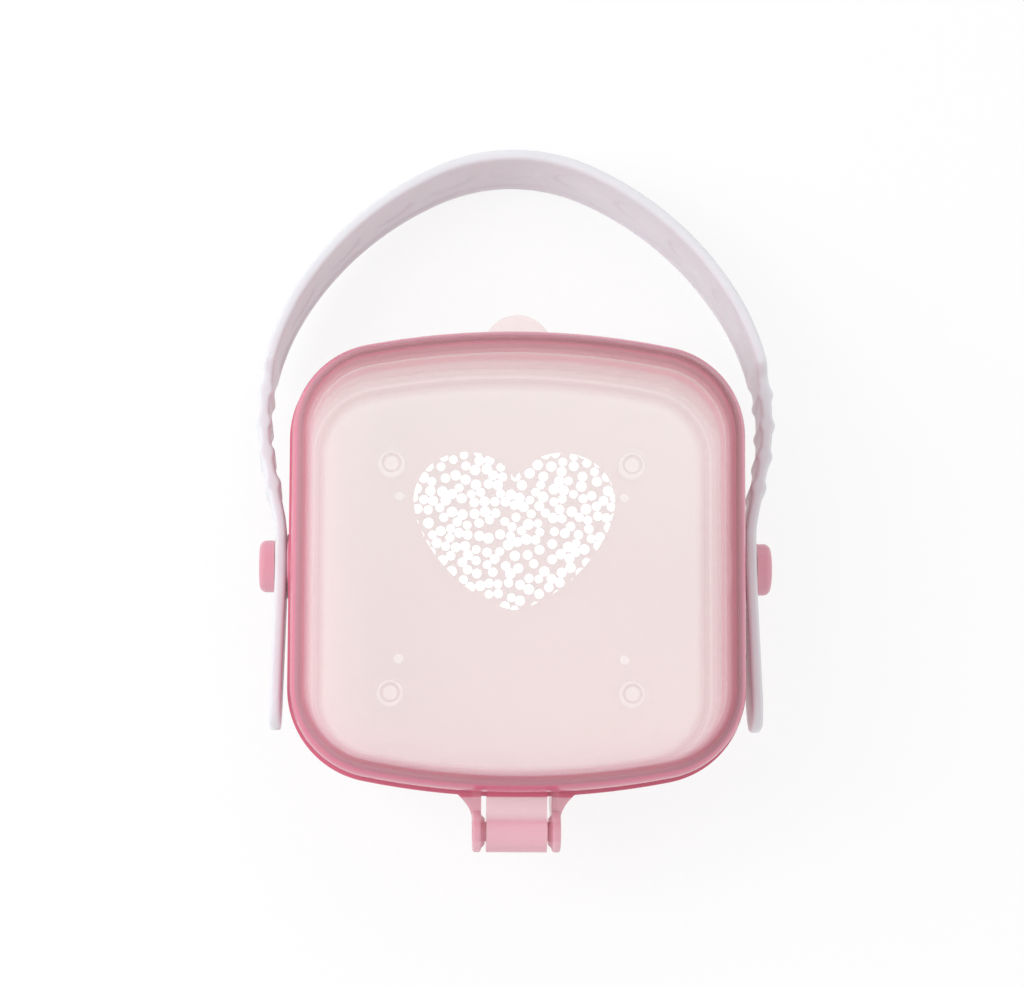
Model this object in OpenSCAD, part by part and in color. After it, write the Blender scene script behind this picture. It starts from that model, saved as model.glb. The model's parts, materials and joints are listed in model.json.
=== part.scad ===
// Travel and sterilizing case for a soother: a rounded square box lying on four
// small feet, a snap hinge at the back, a soft strap handle buttoned on both sides.
// Millimetres. +Z up, hinge at -Y, opening tab and handle arch at +Y.

/* [Plan outline] */
// Width over the base's rim, side to side
case_w = 75.6; // [60:0.2:100]
// Length over the base's rim, hinge side to tab side
case_l = 76.8; // [62:0.2:104]
// Corner radius of the outline
corner_r = 15.5; // [12:0.5:22]
// Radius of the gently bowed front and back
crown_r = 130; // [90:5:300]

/* [Base] */
// Height of the parting plane above the table
seam_z = 26; // [22:0.5:36]
// Height of the feet
foot_h = 1.2; // [0.8:0.1:2.5]
// Wall thickness of both halves
wall = 1.4; // [1.1:0.1:1.8]
// How far the base wall stands in from its rim
rim_over = 1.9; // [1.5:0.1:2.6]
// Thickness of the rim
rim_t = 2.2; // [1.6:0.1:3]
// Draft of the base walls in degrees
draft = 2.5; // [1:0.5:5]
// Outer radius between wall and floor
floor_r = 3.2; // [2.2:0.2:6]
// Height of the lip that stands up into the lid
lip_h = 2.5; // [1.6:0.1:3.2]
// Gap between the lip and the lid
lip_gap = 0.15; // [0.08:0.01:0.3]

/* [Feet and vents] */
// Spacing of the feet across the case
foot_dx = 41.8; // [34:0.2:46]
// Spacing of the feet along the case
foot_dy = 39.8; // [33:0.2:46]
// Outer radius of a foot
foot_r = 2.9; // [2.5:0.1:3.6]
// Radius of the dimple inside a foot
dimple_r = 1.8; // [1.2:0.1:2]
// Spacing of the vent holes across the case
vent_dx = 39; // [30:0.2:44]
// Spacing of the vent holes along the case
vent_dy = 28.2; // [20:0.2:30]
// Radius of a vent hole
vent_r = 0.85; // [0.6:0.05:1.2]

/* [Lid] */
// Height of the lid above the parting plane
lid_h = 17; // [13:0.5:24]
// How far the lid's wall stands in from the base's rim
lid_step = 0.55; // [0.3:0.05:0.8]
// Radius of the lid's shoulder
shoulder_r = 10; // [7:0.5:12]
// Radius of the lid's crown between shoulder and flat face
lid_crown_r = 24; // [18:1:30]
// Gap between the lid's edge and the base's rim
seam_gap = 0.1; // [0.05:0.01:0.3]

/* [Hinge] */
// Distance from the rim to the hinge axis
hinge_reach = 5.7; // [5:0.1:8]
// Radius of the hinge barrel and of the cheeks' round ends
barrel_r = 3.4; // [2.8:0.1:4]
// Width of the lid's arm and barrel
barrel_w = 9.95; // [8:0.1:14]
// Side gap between barrel and cheek
cheek_gap = 0.8; // [0.3:0.05:1]
// Thickness of a cheek
cheek_t = 1.45; // [1.2:0.05:2.5]
// Radius of the stub pins
pin_r = 1.6; // [1.2:0.05:2]
// Radial clearance of the pins in the cheeks
pin_fit = 0.05; // [0.03:0.01:0.1]
// Thickness of the lid's arm
arm_t = 2.3; // [1.8:0.1:3]
// Depth of a cheek's web down the base wall
cheek_drop = 11; // [6:0.5:15]
// Radius of the conical boss round a pin where it leaves the cheek
boss_r = 2.8; // [2.6:0.1:3]
// Rounding of a cheek's round end
cheek_edge_r = 0.5; // [0.2:0.1:0.6]
// How far the flare beside a cheek spreads along the rim
flare_w = 2.4; // [1.2:0.1:3]
// How far the flare runs down the cheek
flare_l = 4.3; // [2.2:0.1:4.6]

/* [Tab] */
// Radius of the opening tab
tab_r = 5.8; // [4:0.1:8]
// How far the tab stands out from the rim
tab_out = 3.5; // [2.4:0.1:4]
// Thickness of the tab
tab_t = 1.4; // [1:0.1:1.8]
// Half angle of the snap bead at the front, in degrees
snap_span = 2.6; // [1.5:0.1:4]

/* [Handle studs] */
// Height of the stud axis above the table
stud_z = 19; // [15:0.5:20]
// Radius of the pad behind each stud
pad_r = 5.45; // [4.6:0.05:6]
// How far the pad stands out from the rim
pad_out = 0.35; // [0.2:0.05:0.8]
// Radius of the stud's neck
neck_r = 2.3; // [1.6:0.1:3]
// Radius of the stud's head
head_r = 4.35; // [3.8:0.05:5.5]
// Thickness of the stud's head
head_t = 2.55; // [1.6:0.05:3.2]
// Rounding of the head's outer edge
head_edge_r = 1.2; // [0.6:0.1:1.5]

/* [Handle strap] */
// Reach of the arch's outer face from the stud axis
handle_reach = 72.4; // [62:0.2:90]
// Thickness of the strap
strap_t = 1.9; // [1.5:0.1:2.6]
// Width of the strap at the grip
grip_w = 15; // [11:0.5:16]
// Width of the strap's legs
leg_w = 10; // [8:0.5:10.5]
// Distance along the strap from the stud to where the wide grip begins
grip_start = 32.5; // [31:0.5:40]
// Length over which the grip widens to its full width
grip_taper = 2.5; // [1.5:0.5:5]
// Rounding of the strap's long edges
edge_r = 0.7; // [0.2:0.1:0.7]
// Length of the free tail below the stud axis
tail_l = 27.8; // [20:0.2:30]
// Side gap between the strap and the pad or head
strap_gap = 0.1; // [0.06:0.01:0.3]
// Radial clearance of the neck in the strap's hole
neck_fit = 0.05; // [0.03:0.01:0.1]
// Radius of the arch at its apex
apex_r = 30; // [24:1:36]
// Turn of the apex arc in degrees
apex_turn = 25.5; // [20:0.5:30]
// Heading where the shoulder arc ends, in degrees below level
shoulder_end = 60; // [55:1:65]
// Outward lean of the legs above the studs, in degrees
leg_lean = 12; // [8:0.5:13]
// Length of the leaning straight part of the legs
lean_run = 9; // [6:0.5:12]
// Radius of the bend just above and below the studs
waist_r = 18; // [12:1:26]
// Half length of the flat stretch held by a stud
seat_half = 4.2; // [3:0.1:5]
// Outward lean of the tails, in degrees
tail_lean = 1.5; // [0.5:0.5:4]
// Depth of the channel in the grip's inner face
channel_d = 0.35; // [0.2:0.05:0.5]
// Width of the raised edges beside the channel
bead_w = 1.6; // [1:0.1:2.5]
// Number of oval dimples in the channel on each side of the middle one
oval_n = 4; // [2:1:4]
// Spacing of the oval dimples
oval_pitch = 11.6; // [10.6:0.1:12]
// Length of an oval dimple along the strap
oval_l = 9.4; // [7:0.2:10]
// Width of an oval dimple
oval_w = 6.4; // [4:0.2:7]
// Depth of an oval dimple below the channel
oval_d = 0.3; // [0.1:0.05:0.4]
// Number of finger ribs on each leg
rib_n = 4; // [2:1:5]
// Spacing of the finger ribs
rib_pitch = 5.5; // [4:0.1:6]
// Distance along the strap from the stud to the first rib
rib_start = 13.3; // [12:0.1:15]
// Length of a rib along the strap
rib_l = 1.6; // [1.2:0.1:2.4]
// Height of a rib above the strap's face
rib_h = 0.45; // [0.3:0.05:1]
// Lift of the resting grip above the table
rest_gap = 0.3; // [0.2:0.05:1]

/* [Hidden] */
$fn = 96;
eps = 0.01;
cut = 1;
// Steps of the outline's corner and front arcs, and of a rounding in a section
corner_n = 10;
front_n = 8;
round_n = 5;

// Plan outline: straight sides, bowed ends, corner arcs tangent to both
half_w = case_w / 2;
half_l = case_l / 2;
corner_x = half_w - corner_r;
crown_y = half_l - crown_r;
crown_half = asin(corner_x / (crown_r - corner_r));
corner_y = crown_y + (crown_r - corner_r) * cos(crown_half);

// Base section
wall_x = wall / cos(draft);
lip_in = rim_over + wall_x;
lip_out = lid_step + wall + lip_gap;
fillet_z = foot_h + floor_r;
fillet_x = -rim_over - tan(draft) * (seam_z - fillet_z) - floor_r / cos(draft);

// Lid section
lid_z = seam_z + seam_gap;
shoulder_x = corner_r - lid_step - shoulder_r;
crown_z = lid_h - lid_crown_r;
shoulder_z = crown_z + sqrt(pow(lid_crown_r - shoulder_r, 2) - pow(shoulder_x, 2));
shoulder_lean = atan2(shoulder_z - crown_z, shoulder_x);
face_edge = 1.5;

// Hinge
hinge_y = -half_l - hinge_reach;
cheek_in = barrel_w / 2 + cheek_gap;
cheek_out = cheek_in + cheek_t;
pin_end = cheek_in + cheek_t * 0.8;

// Studs
pad_face = half_w + pad_out;
head_face = pad_face + strap_t + 2 * strap_gap;

// Handle, in its own plane: x outwards, y from the stud axis to the apex
seat_x = pad_face + strap_gap + strap_t / 2;
reach_mid = handle_reach - strap_t / 2;
hip_end = 90 + leg_lean;
lean_x = seat_x + waist_r * (1 - cos(leg_lean)) + lean_run * sin(leg_lean);
lean_y = seat_half + waist_r * sin(leg_lean) + lean_run * cos(leg_lean);
// The shoulder and hip radii close the arch between the studs and the apex
span_x = lean_x - apex_r * sin(apex_turn);
span_y = reach_mid - lean_y - apex_r * (1 - cos(apex_turn));
sh_x = sin(shoulder_end) - sin(apex_turn);
sh_y = cos(apex_turn) - cos(shoulder_end);
hip_x = sin(hip_end) - sin(shoulder_end);
hip_y = cos(shoulder_end) - cos(hip_end);
closing = sh_x * hip_y - hip_x * sh_y;
shoulder_arc_r = (span_x * hip_y - hip_x * span_y) / closing;
hip_arc_r = (sh_x * span_y - sh_y * span_x) / closing;
// Each run of the strap going up from the stud: [turn radius, turn], or [0, length]
LEG = [
    [0, seat_half],
    [waist_r, -leg_lean],
    [0, lean_run],
    [hip_arc_r, hip_end - shoulder_end],
    [shoulder_arc_r, shoulder_end - apex_turn],
    [apex_r, apex_turn],
];
tail_run = tail_l - seat_half - waist_r * sin(tail_lean);
TAIL = [[0, seat_half], [waist_r, -tail_lean], [0, tail_run / cos(tail_lean)]];
START = [seat_x, 0, 0];

// Droop that lays the grip's lower edge just above the table
half_diag = norm([handle_reach, grip_w / 2]);
droop = asin((stud_z - rest_gap) / half_diag) - atan2(grip_w / 2, handle_reach);

// The origin lies under the middle of the whole object
front_y = handle_reach * cos(droop) + (grip_w / 2 - edge_r) * sin(droop);
back_y = hinge_y - barrel_r;
mid_y = (front_y + back_y) / 2;

// Pose [x, y, heading] after a run; headings turn left for positive turns
function step(p, run) =
    run[0] == 0 ? [p[0] - run[1] * sin(p[2]), p[1] + run[1] * cos(p[2]), p[2]]
                : let (s = sign(run[1]), c = [p[0] - s * run[0] * cos(p[2]),
                                              p[1] - s * run[0] * sin(p[2])])
                  [c[0] + s * run[0] * cos(p[2] + run[1]),
                   c[1] + s * run[0] * sin(p[2] + run[1]), p[2] + run[1]];
function run_length(run) = run[0] == 0 ? run[1] : run[0] * abs(run[1]) * PI / 180;
function path_length(path, i = 0) =
    i == len(path) ? 0 : run_length(path[i]) + path_length(path, i + 1);
function part_run(run, u) = run[0] == 0 ? [0, u] : [run[0], run[1] * u / run_length(run)];
function pose(path, u, p, i = 0) =
    u <= run_length(path[i]) || i == len(path) - 1
        ? step(p, part_run(path[i], u))
        : pose(path, u - run_length(path[i]), step(p, path[i]), i + 1);

// The outline drawn in by g from the rim line, counterclockwise from the right side
function outline(g, z) = let (
    corner = [for (i = [0 : corner_n]) let (a = i * (90 - crown_half) / corner_n)
        [corner_x + (corner_r - g) * cos(a), corner_y + (corner_r - g) * sin(a)]],
    front = [for (i = [1 : front_n / 2 - 1]) let (a = 90 - crown_half * (1 - 2 * i / front_n))
        [(crown_r - g) * cos(a), crown_y + (crown_r - g) * sin(a)]],
    quarter = concat(corner, front),
    top = concat(quarter, [[0, half_l - g]], [for (i = [len(quarter) - 1 : -1 : 0])
        [-quarter[i][0], quarter[i][1]]])
) [for (p = concat(top, [for (q = top) -q])) [p[0], p[1], z]];

// Closed skin through rings of equal length, each end a fan about the ring's middle.
// Seen from beyond the first end, a ring runs clockwise.
function middle(ring) = [for (axis = [0 : 2]) [for (p = ring) 1] * [for (p = ring) p[axis]]] / len(ring);
module loft(rings) {
    n = len(rings[0]);
    m = len(rings);
    first = n * m;
    polyhedron(
        points = concat([for (ring = rings) each ring], [middle(rings[0]), middle(rings[m - 1])]),
        faces = concat(
            [for (i = [0 : n - 1]) [first, i, (i + 1) % n]],
            [for (k = [0 : m - 2], i = [0 : n - 1])
                [k * n + i, (k + 1) * n + i, (k + 1) * n + (i + 1) % n, k * n + (i + 1) % n]],
            [for (i = [0 : n - 1]) [first + 1, first - n + (i + 1) % n, first - n + i]]
        )
    );
}

// Sweeps a section, a list of [inset from the rim line, height], round the outline
module swept_shell(section) {
    loft([for (p = section) outline(p[0], p[1])]);
}

// Points of an arc in a section, as [inset, height]
function section_arc(c, r, from, to) = [for (i = [0 : round_n])
    let (a = from + (to - from) * i / round_n) [-c[0] - r * cos(a), c[1] + r * sin(a)]];

// ---- Base ----

// From the middle of the underside out, up the wall, over the lip and down inside
module base_body() {
    bevel = 0.5;
    top = seam_z + lip_h;
    rim_z = seam_z - rim_t;
    swept_shell(concat(
        section_arc([fillet_x, fillet_z], floor_r, -90, -draft),
        [[rim_over + tan(draft) * rim_t, rim_z], [bevel, rim_z], [0, rim_z + bevel], [0, seam_z],
         [lip_out, seam_z], [lip_out, top - bevel], [lip_out + bevel, top], [lip_in, top],
         [lip_in, seam_z]],
        section_arc([fillet_x, fillet_z], floor_r - wall, -draft, -90)
    ));
}

// One plate of the hinge fork, with its round end and a boss on the hinge axis
module cheek() {
    web_top = -half_l + rim_over + wall / 2;
    soft = cheek_edge_r * (1 - sin(45));
    translate([cheek_in, 0, 0]) rotate([90, 0, 90]) linear_extrude(cheek_t) polygon([
        [hinge_y, seam_z], [hinge_y, seam_z - barrel_r + cheek_edge_r],
        [web_top + tan(draft) * cheek_drop, seam_z - rim_t - cheek_drop],
        [web_top, seam_z],
    ]);
    translate([cheek_in, hinge_y, seam_z]) rotate([0, 90, 0]) rotate_extrude() polygon([
        [0, -cheek_gap * 0.7], [pin_r + pin_fit + cheek_edge_r, -cheek_gap * 0.7], [boss_r, 0],
        [barrel_r - cheek_edge_r, 0], [barrel_r - soft, soft], [barrel_r, cheek_edge_r],
        [barrel_r, cheek_t - cheek_edge_r], [barrel_r - soft, cheek_t - soft],
        [barrel_r - cheek_edge_r, cheek_t], [0, cheek_t],
    ]);
}

// The flare between a cheek and the rim, with a parabola for its concave edge
module flare() {
    steps = 8;
    rim_y = crown_y + sqrt(pow(crown_r, 2) - pow(cheek_out + flare_w, 2));
    depth = flare_l + rim_over / 2;
    translate([cheek_out - eps, -rim_y - flare_l, seam_z - rim_t]) linear_extrude(rim_t) polygon(concat(
        [for (i = [0 : steps]) [flare_w * pow(i / steps, 2), flare_l * i / steps]],
        [[flare_w, depth], [0, depth]]
    ));
}

// A bar along the bowed front between two insets, on the part of the lip from share up
module snap_bar(outer, inner, share) {
    translate([0, crown_y, seam_z + lip_h * share]) rotate([0, 0, 90 - snap_span])
        rotate_extrude(angle = 2 * snap_span) translate([crown_r - inner, 0])
            square([inner - outer, lip_h * 0.25]);
}

// Pad, neck and mushroom head of one handle stud, pointing along +X
module stud() {
    root = half_w - rim_over - tan(draft) * (seam_z - stud_z + pad_r) - wall * 0.3;
    translate([root, 0, stud_z]) rotate([0, 90, 0]) {
        cylinder(h = pad_face - root, r = pad_r);
        cylinder(h = head_face - root + eps, r = neck_r, $fn = 64);
        translate([0, 0, head_face - root]) rotate_extrude() difference() {
            square([head_r, head_t]);
            translate([head_r - head_edge_r, head_t - head_edge_r]) difference() {
                square(2 * head_edge_r);
                circle(head_edge_r, $fn = 48);
            }
        }
    }
}

module tab() {
    tick = [0.5, 2.2, 0.3];
    top = seam_z - 0.4;
    translate([0, 0, top - tab_t]) linear_extrude(tab_t) intersection() {
        translate([0, half_l + tab_out - tab_r]) circle(tab_r);
        translate([-tab_r, half_l - rim_over / 2]) square([2 * tab_r, tab_r + rim_over]);
    }
    translate([-tick[0] / 2, half_l + tab_out / 2 - tick[1] / 2, top - eps]) cube(tick);
}

module foot() {
    edge = 0.6;
    rotate_extrude() {
        translate([0, edge]) square([foot_r, foot_h + wall / 2 - edge]);
        polygon([[0, 0], [foot_r - edge, 0], [foot_r, edge], [0, edge]]);
    }
}

module base_shell() {
    snap_h = 0.1;
    color([0.95, 0.72, 0.77]) difference() {
        union() {
            base_body();
            for (mx = [0, 1]) mirror([mx, 0, 0]) {
                cheek();
                flare();
                stud();
            }
            tab();
            snap_bar(lip_out - snap_h, lip_out + wall / 2, 0.5);
            for (mx = [-1, 1], my = [-1, 1])
                translate([mx * foot_dx / 2, my * foot_dy / 2, 0]) foot();
        }
        for (mx = [-1, 1], my = [-1, 1]) {
            translate([mx * foot_dx / 2, my * foot_dy / 2, foot_h + wall])
                sphere(dimple_r, $fn = 32);
            translate([mx * vent_dx / 2, my * vent_dy / 2, foot_h - cut])
                cylinder(h = wall + 2 * cut, r = vent_r, $fn = 48);
        }
        translate([-cheek_out - cut, hinge_y, seam_z]) rotate([0, 90, 0])
            cylinder(h = 2 * (cheek_out + cut), r = pin_r + pin_fit, $fn = 64);
    }
}

// ---- Lid ----

// Section of the lid's skin from its edge to the flat face, drawn in by g
function lid_side(g) = concat(
    [[lid_step + g, lid_z]],
    section_arc([shoulder_x - corner_r, lid_z + shoulder_z], shoulder_r - g, 0, shoulder_lean),
    [for (i = [1 : round_n - 1]) let (
        a = shoulder_lean + (acos(face_edge / (lid_crown_r - g)) - shoulder_lean) * i / (round_n - 1))
        [corner_r - (lid_crown_r - g) * cos(a), lid_z + crown_z + (lid_crown_r - g) * sin(a)]]
);

// From the flat face's inside down to the edge and up the outside
module lid_body() {
    inner = lid_side(wall);
    swept_shell(concat([for (i = [len(inner) - 1 : -1 : 0]) inner[i]], lid_side(0)));
}

// Arm, barrel and stub pins that snap between the base's cheeks
module hinge_arm() {
    root = half_l - lid_step - wall / 2;
    translate([-barrel_w / 2, hinge_y, lid_z]) cube([barrel_w, -hinge_y - root, arm_t]);
    translate([-barrel_w / 2, hinge_y, seam_z]) rotate([0, 90, 0])
        cylinder(h = barrel_w, r = barrel_r);
    translate([-pin_end, hinge_y, seam_z]) rotate([0, 90, 0])
        cylinder(h = 2 * pin_end, r = pin_r, $fn = 64);
}

module lid_shell() {
    groove = 0.3;
    color([0.96, 0.76, 0.80]) difference() {
        union() {
            lid_body();
            hinge_arm();
        }
        snap_bar(lid_step + wall - groove, lid_step + wall + cut, 0.45);
    }
}

// ---- Handle ----

// Pose at a signed distance from the stud: negative down the tail, positive up the leg
function strap_pose(u) = u >= 0 ? pose(LEG, u, START)
    : let (p = pose(TAIL, -u, START)) [p[0], -p[1], -p[2]];

// A value that climbs from 0 to 1 between two distances
function ramp(u, from, to) = min(1, max(0, (u - from) / (to - from)));
// Half width of the rounded tail end, which stays just short of its full length
function end_round(u) = let (r = leg_w / 2, x = min(r, tail_l + u + rest_gap / 2))
    sqrt(2 * r * x - x * x);
function half_width(u) = end_round(u) +
    (grip_w - leg_w) / 2 * ramp(u, grip_start, grip_start + grip_taper);
function on_rib(u) = max([for (i = [0 : rib_n - 1])
    1 - ramp(abs(u - rib_start - i * rib_pitch), rib_l / 2 - rib_side, rib_l / 2 + rib_side)]);
function half_thick(u) = strap_t / 2 + rib_h * on_rib(u);
function channel_at(u) = channel_d * ramp(u, grip_start + grip_taper,
                                          grip_start + 2 * grip_taper);

// One cross-section of the strap: rounded edges, and the channel in the inner face
function strap_section(u) = let (
    w = half_width(u), t = half_thick(u), e = min(edge_r, w / 3), c = max(w - bead_w, w / 2),
    d = channel_at(u), s = sin(45) * e,
    half = [[t, w - e], [t - e + s, w - e + s], [t - e, w], [e - t, w],
            [e - t - s, w - e + s], [-t, w - e], [-t, c], [d - t, c - e]]
) concat([for (q = half) [q[0], -q[1]]], [for (i = [len(half) - 1 : -1 : 0]) half[i]]);

function placed(section, u, side) = let (p = strap_pose(u)) [for (q = section)
    [side * (p[0] + q[0] * cos(p[2])), p[1] + q[0] * sin(p[2]), q[1]]];

function spread(from, to, n) = [for (i = [0 : n]) from + (to - from) * i / n];

// Where the cross-sections stand, from the tail's end to the apex
rib_side = 0.3;
waist_l = run_length(LEG[1]);
strap_l = path_length(LEG);
tail_end_n = 4;
grip_n = 16;
rib_zone = rib_start + rib_pitch * (rib_n - 0.5);
STATIONS = concat(
    [for (i = [0 : tail_end_n]) leg_w / 2 * pow(i / tail_end_n, 2) - tail_l],
    spread(-tail_l / 2, -seat_half, 3), [seat_half],
    spread(seat_half + waist_l / 2, seat_half + waist_l, 1),
    [for (i = [0 : rib_n - 1], k = [-1, 1], m = [-1, 1])
        rib_start + i * rib_pitch + k * rib_l / 2 + m * rib_side],
    [min(rib_zone, grip_start - rib_side)],
    spread(grip_start, grip_start + 2 * grip_taper, 2),
    [for (i = [1 : grip_n]) grip_start + 2 * grip_taper
        + (strap_l - grip_start - 2 * grip_taper) * i / grip_n]
);
module strap_body() {
    n = len(STATIONS);
    loft(concat(
        [for (u = STATIONS) placed(strap_section(u), u, 1)],
        [for (i = [n - 2 : -1 : 0]) placed(strap_section(STATIONS[i]), STATIONS[i], -1)]
    ));
}

// What one oval dimple takes out of the channel's floor, with slightly sloping sides
module oval(u) {
    steps = 10;
    floor_x = channel_d - strap_t / 2;
    loft([for (i = [0 : steps]) let (
        a = 180 * (i + 0.1) / (steps + 0.2), w = sin(a) * oval_w / 2, low = w * 0.85)
        placed([[floor_x + oval_d, -low], [floor_x - channel_d, -w],
                [floor_x - channel_d, w], [floor_x + oval_d, low]], u - cos(a) * oval_l / 2, 1)]);
}

module strap_handle() {
    color([0.90, 0.89, 0.92]) translate([0, 0, stud_z]) rotate([-droop, 0, 0]) difference() {
        strap_body();
        oval(strap_l);
        for (i = [1 : oval_n], mx = [0, 1]) mirror([mx, 0, 0]) oval(strap_l - i * oval_pitch);
        rotate([0, 90, 0]) cylinder(h = 4 * seat_x, r = neck_r + neck_fit, center = true, $fn = 64);
    }
}

translate([0, -mid_y, 0]) base_shell();
translate([0, -mid_y, 0]) lid_shell();
translate([0, -mid_y, 0]) strap_handle();
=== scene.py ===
import json
import math
import random

import bpy
from mathutils import Matrix, Vector


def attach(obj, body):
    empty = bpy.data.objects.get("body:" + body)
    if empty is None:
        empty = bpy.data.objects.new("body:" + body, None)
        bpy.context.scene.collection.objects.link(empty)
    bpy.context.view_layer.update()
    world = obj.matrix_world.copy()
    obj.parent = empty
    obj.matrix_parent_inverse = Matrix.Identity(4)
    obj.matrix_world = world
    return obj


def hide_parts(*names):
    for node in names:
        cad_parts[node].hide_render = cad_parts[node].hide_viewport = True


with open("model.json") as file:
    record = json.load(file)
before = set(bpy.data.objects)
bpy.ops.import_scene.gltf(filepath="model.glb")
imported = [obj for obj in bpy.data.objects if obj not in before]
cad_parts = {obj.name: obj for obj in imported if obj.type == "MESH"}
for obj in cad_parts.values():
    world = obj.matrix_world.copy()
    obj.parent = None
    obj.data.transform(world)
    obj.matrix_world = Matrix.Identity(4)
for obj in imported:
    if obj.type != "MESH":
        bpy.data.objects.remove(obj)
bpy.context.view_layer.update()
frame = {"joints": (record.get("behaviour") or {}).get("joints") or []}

mm = 0.001
joints = {j["name"]: j for j in frame["joints"]}
caseY = joints["handle_swing"]["pos_m"][1]  # middle of the case along the row's Y
studZ = joints["handle_swing"]["pos_m"][2]
hingeY, hingeZ = joints["lid_hinge"]["pos_m"][1:]


def clearSelection():
    if bpy.context.mode != "OBJECT":
        bpy.ops.object.mode_set(mode="OBJECT")
    bpy.ops.object.select_all(action="DESELECT")


def onlySelect(piece):
    clearSelection()
    piece.select_set(True)
    bpy.context.view_layer.objects.active = piece


def editPiece(piece, mode="FACE"):
    onlySelect(piece)
    bpy.ops.object.mode_set(mode="EDIT")
    bpy.ops.mesh.select_mode(type=mode)


def pickFaces(piece, test):
    bpy.ops.object.mode_set(mode="EDIT")
    bpy.ops.mesh.select_mode(type="FACE")
    bpy.ops.mesh.select_all(action="DESELECT")
    bpy.ops.object.mode_set(mode="OBJECT")
    for face in piece.data.polygons:
        face.select = test(face)
    bpy.ops.object.mode_set(mode="EDIT")


def pickEdges(piece, test):
    bpy.ops.object.mode_set(mode="EDIT")
    bpy.ops.mesh.select_mode(type="EDGE")
    bpy.ops.mesh.select_all(action="DESELECT")
    bpy.ops.object.mode_set(mode="OBJECT")
    verts = piece.data.vertices
    for edge in piece.data.edges:
        edge.select = test(verts[edge.vertices[0]].co, verts[edge.vertices[1]].co)
    bpy.ops.object.mode_set(mode="EDIT")


def settle(piece, name):
    # its place goes into its mesh, so that the object itself stays at the origin
    onlySelect(piece)
    bpy.ops.object.transform_apply(location=True, rotation=True, scale=True)
    piece.name = name
    piece.data.name = name
    return piece


def addDisc(points, z, name):
    clearSelection()
    bpy.ops.mesh.primitive_circle_add(vertices=len(points), fill_type="NGON")
    disc = bpy.context.active_object
    for vert, (x, y) in zip(disc.data.vertices, points):
        vert.co = (x, y, z)
    return settle(disc, name)


def addRod(radius, length, start, axis, sides, name, bevel=0, steps=4):
    # a round bar from start along +X, or +Z, with its far edge rounded
    clearSelection()
    turn = (0, math.pi / 2, 0) if axis == "X" else (0, 0, 0)
    middle = Vector(start) + Vector((length / 2, 0, 0) if axis == "X" else (0, 0, length / 2))
    bpy.ops.mesh.primitive_cylinder_add(vertices=sides, radius=radius, depth=length,
                                        location=middle, rotation=turn)
    rod = settle(bpy.context.active_object, name)
    if bevel:
        far = start[0] + length if axis == "X" else start[2] + length
        index = 0 if axis == "X" else 2
        pickEdges(rod, lambda a, b: abs(a[index] - far) < 1e-7 and abs(b[index] - far) < 1e-7)
        bpy.ops.mesh.bevel(offset=bevel, segments=steps, profile=0.5, affect="EDGES")
        clearSelection()
    return rod


def combine(piece, others, how="UNION"):
    for other in others:
        onlySelect(piece)
        modifier = piece.modifiers.new(how.title(), "BOOLEAN")
        modifier.operation = how
        modifier.solver = "EXACT"
        modifier.object = other
        bpy.ops.object.modifier_apply(modifier=modifier.name)
        bpy.data.objects.remove(other)
    return piece


def copyMirrored(piece):
    clearSelection()
    twin = piece.copy()
    twin.data = piece.data.copy()
    bpy.context.scene.collection.objects.link(twin)
    twin.scale.x = -1
    settle(twin, piece.name + "Twin")
    editPiece(twin)
    bpy.ops.mesh.select_all(action="SELECT")
    bpy.ops.mesh.normals_make_consistent(inside=False)
    clearSelection()
    return twin


def smoothUnder(piece, degrees):
    onlySelect(piece)
    bpy.ops.object.shade_smooth_by_angle(angle=math.radians(degrees))
    clearSelection()


plan = {
    "width": 75.6 * mm, "length": 76.8 * mm,
    "cornerR": 15.5 * mm, "crownR": 130 * mm,
    "cornerSteps": 22, "crownSteps": 16, "sideSteps": 6,
}


def outlineRing(inset):
    # straight sides, bowed front and back, corner arcs tangent to both
    r, bigR = plan["cornerR"], plan["crownR"]
    cornerX = plan["width"] / 2 - r
    crownY = plan["length"] / 2 - bigR
    half = math.asin(cornerX / (bigR - r))
    cornerY = crownY + (bigR - r) * math.cos(half)
    quarter = []
    for i in range(plan["sideSteps"] // 2):
        quarter.append((plan["width"] / 2 - inset, cornerY * 2 * i / plan["sideSteps"]))
    for i in range(plan["cornerSteps"] + 1):
        a = i * (math.pi / 2 - half) / plan["cornerSteps"]
        quarter.append((cornerX + (r - inset) * math.cos(a), cornerY + (r - inset) * math.sin(a)))
    for i in range(1, plan["crownSteps"] // 2):
        a = math.pi / 2 - half * (1 - 2 * i / plan["crownSteps"])
        quarter.append(((bigR - inset) * math.cos(a), crownY + (bigR - inset) * math.sin(a)))
    top = quarter + [(0, plan["length"] / 2 - inset)] + [(-x, y) for x, y in reversed(quarter[1:])]
    ring = top + [(-x, -y) for x, y in top]
    return [(x, y + caseY) for x, y in ring]


def arcPoints(centre, radius, start, end, steps):
    # an arc in a wall's section, as (inset, height)
    found = []
    for i in range(steps + 1):
        a = math.radians(start + (end - start) * i / steps)
        found.append((centre[0] - radius * math.cos(a), centre[1] + radius * math.sin(a)))
    return found


def followProfile(profile, facing):
    # carries the selected cap along a section; facing is 1 for a cap that looks up
    for (g0, z0), (g1, z1) in zip(profile, profile[1:]):
        if abs(g1 - g0) < 1e-8:
            bpy.ops.mesh.extrude_region_move(TRANSFORM_OT_translate={"value": (0, 0, z1 - z0)})
        else:
            bpy.ops.mesh.inset(thickness=g1 - g0, depth=(z1 - z0) * facing, use_even_offset=True)


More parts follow.
